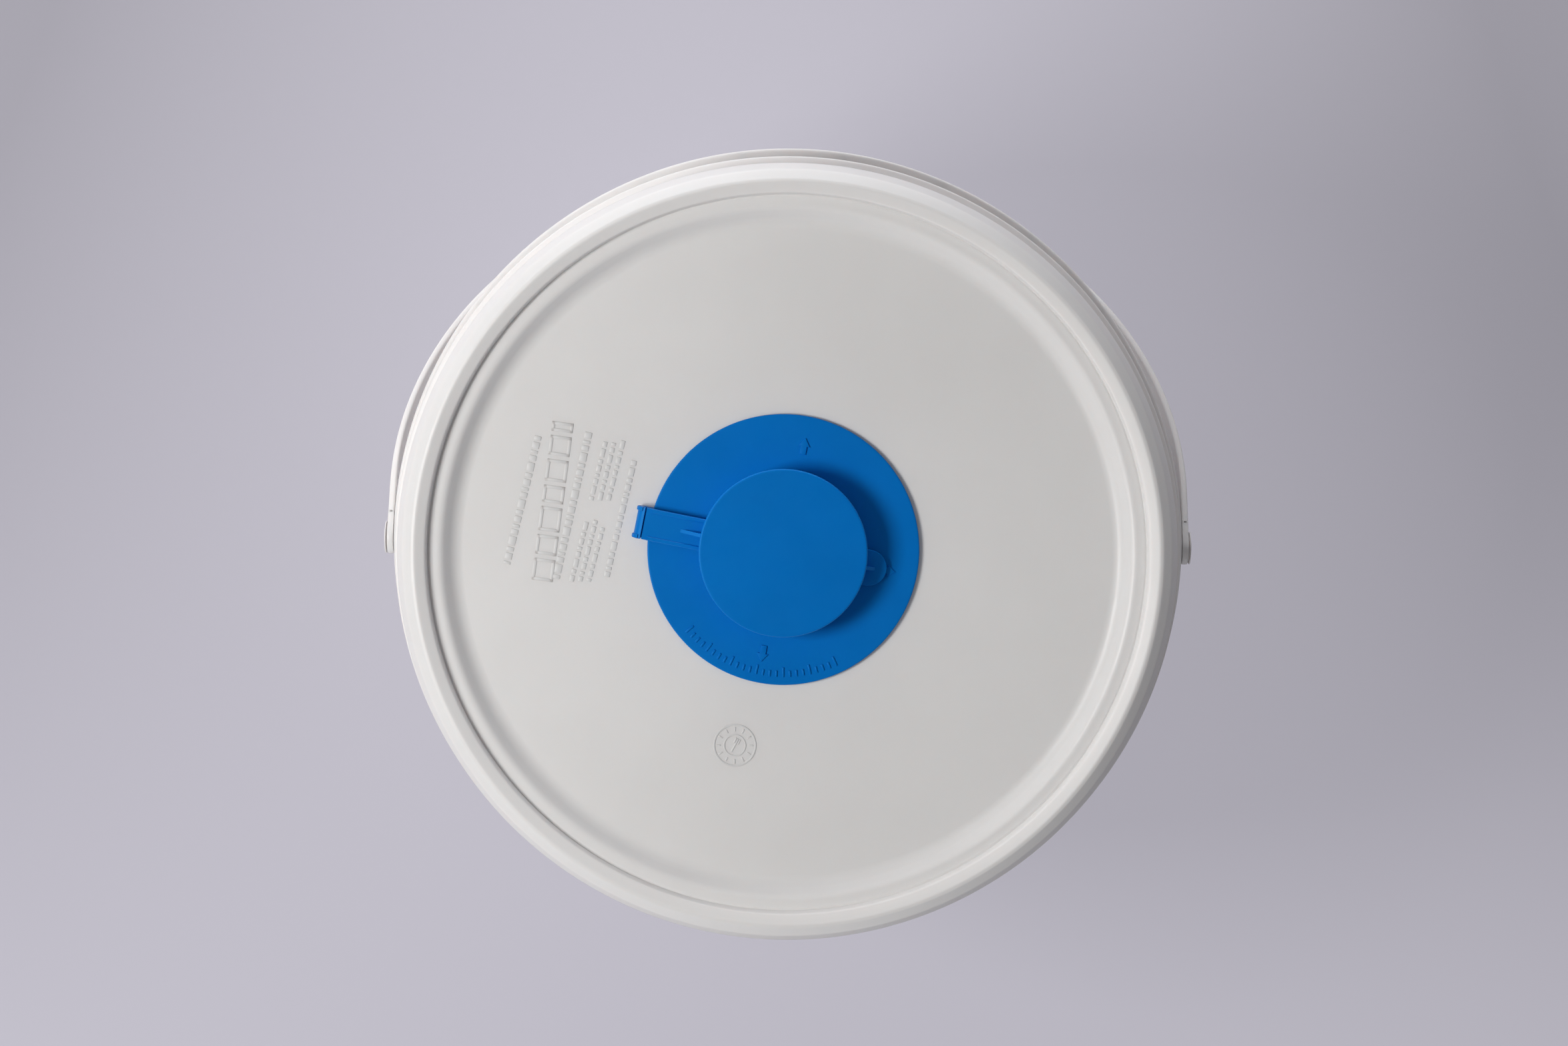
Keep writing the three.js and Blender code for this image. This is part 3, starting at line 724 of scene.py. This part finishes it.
def blue_plastic(name):
    """Blue moulded polypropylene with a soft gloss, faint flow shading and rubbed spots."""
    material, tree, shader = new_material(name, BLUE, 0.42)
    shader.inputs["Subsurface Weight"].default_value = 0.12
    shader.inputs["Subsurface Radius"].default_value = (0.0005, 0.0012, 0.0026)
    shader.inputs["Specular IOR Level"].default_value = 0.40
    shader.inputs["Specular Tint"].default_value = (0.15, 0.55, 1.0, 1)
    place = add_node(tree, "ShaderNodeTexCoord").outputs["Object"]
    dull = tuple(c * 0.95 for c in BLUE)
    bright = tuple(c * 1.05 for c in BLUE)
    paint = colour_ramp(tree, noise(tree, place, 38.0, 4.0), [(0.3, dull), (0.7, bright)])
    paint = speckled(tree, place, paint, FLECK_COLOUR, scale=120.0, rarity=0.86, reach=0.016)
    rubbed = map_range(tree, noise(tree, place, 160.0, 5.0), (0.3, 0.7), (0.38, 0.47))
    tree.links.new(paint, shader.inputs["Base Color"])
    tree.links.new(rubbed, shader.inputs["Roughness"])
    tree.links.new(bump(tree, noise(tree, place, 2400.0, 2.0), 0.3, 0.00003), shader.inputs["Normal"])
    return material


def outline_into(mesh, outer, holes, low, high, bevel=0.12):
    """Adds a flat plate from closed outlines in mm, with its edges softened."""
    curve = bpy.data.curves.new("plate_outline", "CURVE")
    curve.dimensions = "2D"
    curve.fill_mode = "BOTH"
    for outline in [outer, *holes]:
        spline = curve.splines.new("POLY")
        spline.points.add(len(outline) - 1)
        for point, (x, y) in zip(spline.points, outline):
            point.co = (x * MM, y * MM, 0, 1)
        spline.use_cyclic_u = True
    curve.extrude = (high - low) / 2 * MM - bevel * MM
    curve.bevel_depth = bevel * MM
    curve.bevel_resolution = 1
    curve.offset = -bevel * MM
    holder = bpy.data.objects.new("plate_outline", curve)
    plate = bpy.data.meshes.new_from_object(holder)
    bpy.data.objects.remove(holder)
    bpy.data.curves.remove(curve)
    before = set(mesh.verts)
    mesh.from_mesh(plate)
    bpy.data.meshes.remove(plate)
    made = [vert for vert in mesh.verts if vert not in before]
    bmesh.ops.remove_doubles(mesh, verts=made, dist=1e-6)
    made = [vert for vert in mesh.verts if vert not in before]
    bmesh.ops.translate(mesh, vec=(0, 0, (low + high) / 2 * MM), verts=made)
    return made


def arc_points(radius, start, end, steps, x=0.0, y=0.0):
    """Points on an arc in mm, from one angle to another in degrees, with both ends."""
    turn = [math.radians(start + (end - start) * k / steps) for k in range(steps + 1)]
    return [(x + radius * math.cos(a), y + radius * math.sin(a)) for a in turn]


def circle_points(radius, sides=160):
    return arc_points(radius, 0, 360, sides)[:-1]


def turned(points, angle):
    cos, sin = math.cos(angle), math.sin(angle)
    return [(x * cos - y * sin, x * sin + y * cos) for x, y in points]


def mouth_outline():
    """The nozzle's mouth with its four slots, as one closed outline."""
    half = SLOT_WIDTH / 2
    start = math.degrees(math.asin(half / MOUTH_R))
    root = MOUTH_R * math.cos(math.radians(start))
    slot = [(root, -half), *arc_points(half, -90, 90, 8, x=SLOT_REACH - half), (root, half)]
    finger = arc_points(MOUTH_R, start, 90 - start, 12)[1:-1]
    points = []
    for k in range(4):
        points += turned(slot + finger, k * math.pi / 2)
    return points


def arrow_outline(angle):
    """A plain arrow that points out from the nozzle."""
    head = ARROW_LENGTH / 2
    neck, tail = ARROW_TIP - head, ARROW_TIP - ARROW_LENGTH
    points = [(ARROW_TIP, 0), (neck, head * 0.7), (neck, head * 0.36), (tail, head * 0.36)]
    points += [(x, -y) for x, y in reversed(points[1:])]
    return turned(points, angle)


def skin_rows(mesh, rows):
    """Joins rows of vertices into a closed tube with an end at each side."""
    count = len(rows[0])
    for near, far in zip(rows, rows[1:]):
        for j in range(count):
            n = (j + 1) % count
            mesh.faces.new([near[j], near[n], far[n], far[j]])
    mesh.faces.new(list(reversed(rows[0])))
    mesh.faces.new(rows[-1])


def band_into(mesh, path, width, thickness):
    """Adds a flat band along a path of (x, z) points in mm, with softened edges."""
    soft = 0.18
    half = width / 2
    section = [(-half, soft), (-half + soft, 0), (half - soft, 0), (half, soft)]
    section += [(half, thickness - soft), (half - soft, thickness)]
    section += [(-half + soft, thickness), (-half, thickness - soft)]
    rows = []
    for k, (x, z) in enumerate(path):
        last = Vector(path[max(0, k - 1)])
        after = Vector(path[min(len(path) - 1, k + 1)])
        along = (after - last).normalized()
        out = Vector((along.y, -along.x))
        places = [Vector((x + out.x * t, y, z + out.y * t)) * MM for y, t in section]
        rows.append([mesh.verts.new(place) for place in places])
    skin_rows(mesh, rows)
    return [vert for row in rows for vert in row]


def strap_edges_into(mesh, path, height):
    """Adds the raised edges that run along both sides of the strap."""
    for side in (-1, 1):
        made = band_into(mesh, path, STRAP_EDGE, height)
        shift = Vector((0, side * (STRAP_WIDTH - STRAP_EDGE) / 2, 0)) * MM
        bmesh.ops.translate(mesh, vec=shift, verts=made)


def fold_path(radius, start, end):
    """Points round the strap's fold; angles in degrees from the outward side."""
    return arc_points(radius, start, end, 22, x=FOLD_X, y=FOLD_R)


def place_closure(mesh):
    """Turns a piece of the closure and sets it in the lid's hole."""
    turn = Matrix.Rotation(CLOSURE_TURN, 3, "Z")
    bmesh.ops.rotate(mesh, cent=(0, 0, 0), matrix=turn, verts=mesh.verts)
    shift = Vector((CLOSURE_X, CLOSURE_Y, FLANGE_Z)) * MM
    bmesh.ops.translate(mesh, vec=shift, verts=mesh.verts)


def flange_marks_into(mesh):
    """Adds the four arrows and the row of ticks on the flange."""
    for k in range(4):
        arrow = arrow_outline(k * math.pi / 2)
        outline_into(mesh, arrow, [], FLANGE_T - 0.3, FLANGE_T + 0.42, bevel=0.1)
    for k in range(TICKS):
        length = 1.7 if k % 4 else 2.6
        angle = math.radians(FIRST_TICK + TICK_STEP * k)
        block_into(mesh, (length, 0.5, 0.6), (TICK_OUTER_R - length / 2, 0, FLANGE_T), angle, bevel=0.1)


def make_dispenser_base(material):
    """The section of flange, bush, seat and nozzle, with the mouth's plate and the strap."""
    mesh = bmesh.new()
    seat_r = CAP_WALL_R - CAP_WALL - 0.3
    seat_z = FLANGE_T + 2.2
    revolve_into(
        mesh,
        [
            (BUSH_R - NOZZLE_WALL, -5.5, 0.3),
            (BUSH_R, -5.5, 0.3),
            (BUSH_R + 1.0, -3.2, 0.3),
            (BUSH_R + 1.0, -2.2, 0.2),
            (BUSH_R, -2.2, 0.1),
            (BUSH_R, 0, 0.1),
            (FLANGE_R, 0, 0.2),
            (FLANGE_R, FLANGE_T, 0.4),
            (seat_r, FLANGE_T, 0.3),
            (seat_r, seat_z, 0.4),
            (19.0, seat_z, 0.3),
            (15.2, NOZZLE_TOP, 0.9),
            (NOZZLE_PLATE_R, NOZZLE_TOP, 0),
            (NOZZLE_PLATE_R, NOZZLE_TOP - NOZZLE_WALL, 0),
            (NOZZLE_PLATE_R + 0.6, NOZZLE_TOP - NOZZLE_WALL, 0.3),
            (17.6, seat_z - NOZZLE_WALL, 0.5),
            (BUSH_R - NOZZLE_WALL, -0.3, 0.6),
        ],
        sides=240,
        closed=True,
    )
    plate = circle_points(NOZZLE_PLATE_R + 0.05)
    outline_into(mesh, plate, [mouth_outline()], NOZZLE_TOP - NOZZLE_WALL, NOZZLE_TOP)
    flange_marks_into(mesh)
    tail = [*fold_path(FOLD_R - STRAP_T, 94, 270), (-(FLANGE_R - 1.2), FLANGE_T)]
    band_into(mesh, tail, STRAP_WIDTH, STRAP_T)
    strap_edges_into(mesh, fold_path(FOLD_R - 0.3, 112, 262), STRAP_EDGE_HEIGHT + 0.3)
    place_closure(mesh)
    base = finished("closure_base", mesh, material, "lid")
    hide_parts("dispenser_base")


closure_blue = blue_plastic("closure_blue")
make_dispenser_base(closure_blue)

# The snap cap is moulded in one with the strap that holds it to the base. A rounded thumb
# tab lifts it, and a small rib stiffens the tab and the strap where they meet its wall.
CAP_BOTTOM = FLANGE_T + 0.3
TAB_LIFT = 0.8
TAB_END = CAP_R + 5.5
TAB_WIDTH = 9.4
RIB_T = 0.9


def make_dispenser_cap(material):
    """The section of the cap, with the strap up to its hinge line and the thumb tab."""
    mesh = bmesh.new()
    revolve_into(
        mesh,
        [
            (0, CAP_TOP - CAP_WALL),
            (CAP_WALL_R - CAP_WALL, CAP_TOP - CAP_WALL, 0.5),
            (CAP_WALL_R - CAP_WALL, CAP_BOTTOM, 0.2),
            (CAP_WALL_R, CAP_BOTTOM, 0.25),
            (CAP_WALL_R, CAP_TOP - 2.2, 0.3),
            (CAP_R, CAP_TOP - 1.5, 0.4),
            (CAP_R, CAP_TOP, 0.5),
            (0, CAP_TOP),
        ],
        sides=240,
    )
    strap_top = 2 * FOLD_R
    root = -(CAP_WALL_R - 0.7)
    end = FOLD_X + 0.15
    reach = [root + (end - root) * k / 12 for k in range(13)]
    band_into(mesh, [(x, strap_top - STRAP_T) for x in reach], STRAP_WIDTH, STRAP_T)
    edge = [(x, strap_top - 0.4) for x in reach if x > end + 0.8]
    strap_edges_into(mesh, edge, STRAP_EDGE_HEIGHT + 0.4)
    strap_rib = [(-(CAP_R + 6), strap_top - 0.3), (root, strap_top - 0.3), (root, strap_top + 3.6)]
    wedge_into(mesh, strap_rib, RIB_T)
    low = CAP_BOTTOM + TAB_LIFT
    half = TAB_WIDTH / 2
    tab = [(-root, -half), *arc_points(half, -90, 90, 20, x=TAB_END - half), (-root, half)]
    outline_into(mesh, tab, [], low, low + STRAP_T, bevel=0.2)
    tab_rib = [(-root, low + 0.9), (CAP_R + 2.8, low + 0.9), (-root, low + 4.8)]
    wedge_into(mesh, tab_rib, RIB_T)
    place_closure(mesh)
    cap = finished("closure_cap", mesh, material, "cap")
    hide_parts("dispenser_cap")


make_dispenser_cap(closure_blue)

# The bail is a white moulded strap whose eyes snap over the pail's studs. It widens to a
# ribbed grip in the middle, and folded down it rests against the pail's wall.
BAIL_WIDTH = 9.0
BAIL_LEG = 14.0
GRIP_SPAN = 31.0
GRIP_WIDTH = 16.0
GRIP_T = 3.0
GRIP_RIBS = 13
EYE_R = STUD_R + 0.35
BAIL_REACH = math.hypot(SHOULDER_R, SHOULDER_Z - PIVOT_Z) + 2.8
LEG_ROWS = (5.6, 8.0, 11.0)


def bail_rest_angle():
    """How far the bail hangs below level when the edge of its grip touches the wall."""
    taper = (NECK_R - FOOT_R) / LEDGE_Z
    half = GRIP_WIDTH / 2
    level = BAIL_REACH + taper * half
    drop = taper * BAIL_REACH - half
    wall = wall_r(PIVOT_Z) + 0.4
    return math.acos(wall / math.hypot(level, drop)) + math.atan2(drop, level)


def bail_section(mesh, x, y, normal, thickness, width):
    """Adds one rounded section of the bail, which stands out from (x, y) along the normal."""
    soft = min(0.55, thickness * 0.32)
    outer, high = thickness - soft, width / 2 - soft
    section = []
    for quarter, (out, z) in enumerate(((soft, -high), (outer, -high), (outer, high), (soft, high))):
        start = 180 + 90 * quarter
        section += arc_points(soft, start, start + 90, 3, x=out, y=z)
    places = [Vector((x + normal.x * out, y + normal.y * out, z)) * MM for out, z in section]
    return [mesh.verts.new(place) for place in places]


def bail_leg(mesh, side):
    """The straight end of a leg, from the eye towards the arc."""
    x, normal = side * BAIL_INNER_R, Vector((side, 0))
    return [bail_section(mesh, x, y, normal, BAIL_THICKNESS, BAIL_WIDTH) for y in LEG_ROWS]


def bail_arc(mesh, degrees):
    """A section of the arc at an angle round it."""
    a = math.radians(degrees)
    reach = BAIL_REACH - BAIL_LEG
    x, y = BAIL_INNER_R * math.cos(a), BAIL_LEG + reach * math.sin(a)
    normal = Vector((math.cos(a) / BAIL_INNER_R, math.sin(a) / reach)).normalized()
    return bail_section(mesh, x, y, normal, *bail_shape(degrees))


def bail_shape(degrees):
    """Thickness and width of the bail at a place along it, with the grip's rounded ribs."""
    leg_end = 90 - GRIP_SPAN
    inside = min(degrees - leg_end, 180 - leg_end - degrees)
    pitch = 2 * GRIP_SPAN / GRIP_RIBS
    ease = min(1.0, max(0.0, inside / pitch))
    ease = ease * ease * (3 - 2 * ease)
    rib = 0.0
    if inside > pitch:
        turn = (degrees - leg_end) / pitch
        rib = 0.7 * max(0.0, math.sin(math.pi * (turn % 1.0))) ** 0.7
    thickness = BAIL_THICKNESS + (GRIP_T - BAIL_THICKNESS) * ease + rib
    return thickness, BAIL_WIDTH + (GRIP_WIDTH - BAIL_WIDTH) * ease


def eye_plate_into(mesh, side):
    """The flat end of a leg: a lobe round the stud with a clear hole."""
    half = BAIL_WIDTH / 2
    outline = [(6.0, half), (6.0, -half), *arc_points(half, -90, -270, 30)]
    made = outline_into(mesh, outline, [circle_points(EYE_R, 72)], 0, BAIL_THICKNESS, bevel=0.3)
    turn = Matrix(((0, 0, side), (1, 0, 0), (0, side, 0)))
    bmesh.ops.rotate(mesh, cent=(0, 0, 0), matrix=turn, verts=made)
    bmesh.ops.translate(mesh, vec=Vector((side * BAIL_INNER_R, 0, 0)) * MM, verts=made)


def make_bail():
    mesh = bmesh.new()
    rows = bail_leg(mesh, 1)
    rows += [bail_arc(mesh, k / 2) for k in range(1, 360)]
    rows += reversed(bail_leg(mesh, -1))
    skin_rows(mesh, rows)
    for side in (1, -1):
        eye_plate_into(mesh, side)
    turn = Matrix.Rotation(-bail_rest_angle(), 3, "X")
    bmesh.ops.rotate(mesh, cent=(0, 0, 0), matrix=turn, verts=mesh.verts)
    bmesh.ops.translate(mesh, vec=(0, 0, PIVOT_Z * MM), verts=mesh.verts)
    bail = finished("carrying_bail", mesh, white_plastic("bail_plastic"), "handle")
    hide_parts("handle")


make_bail()
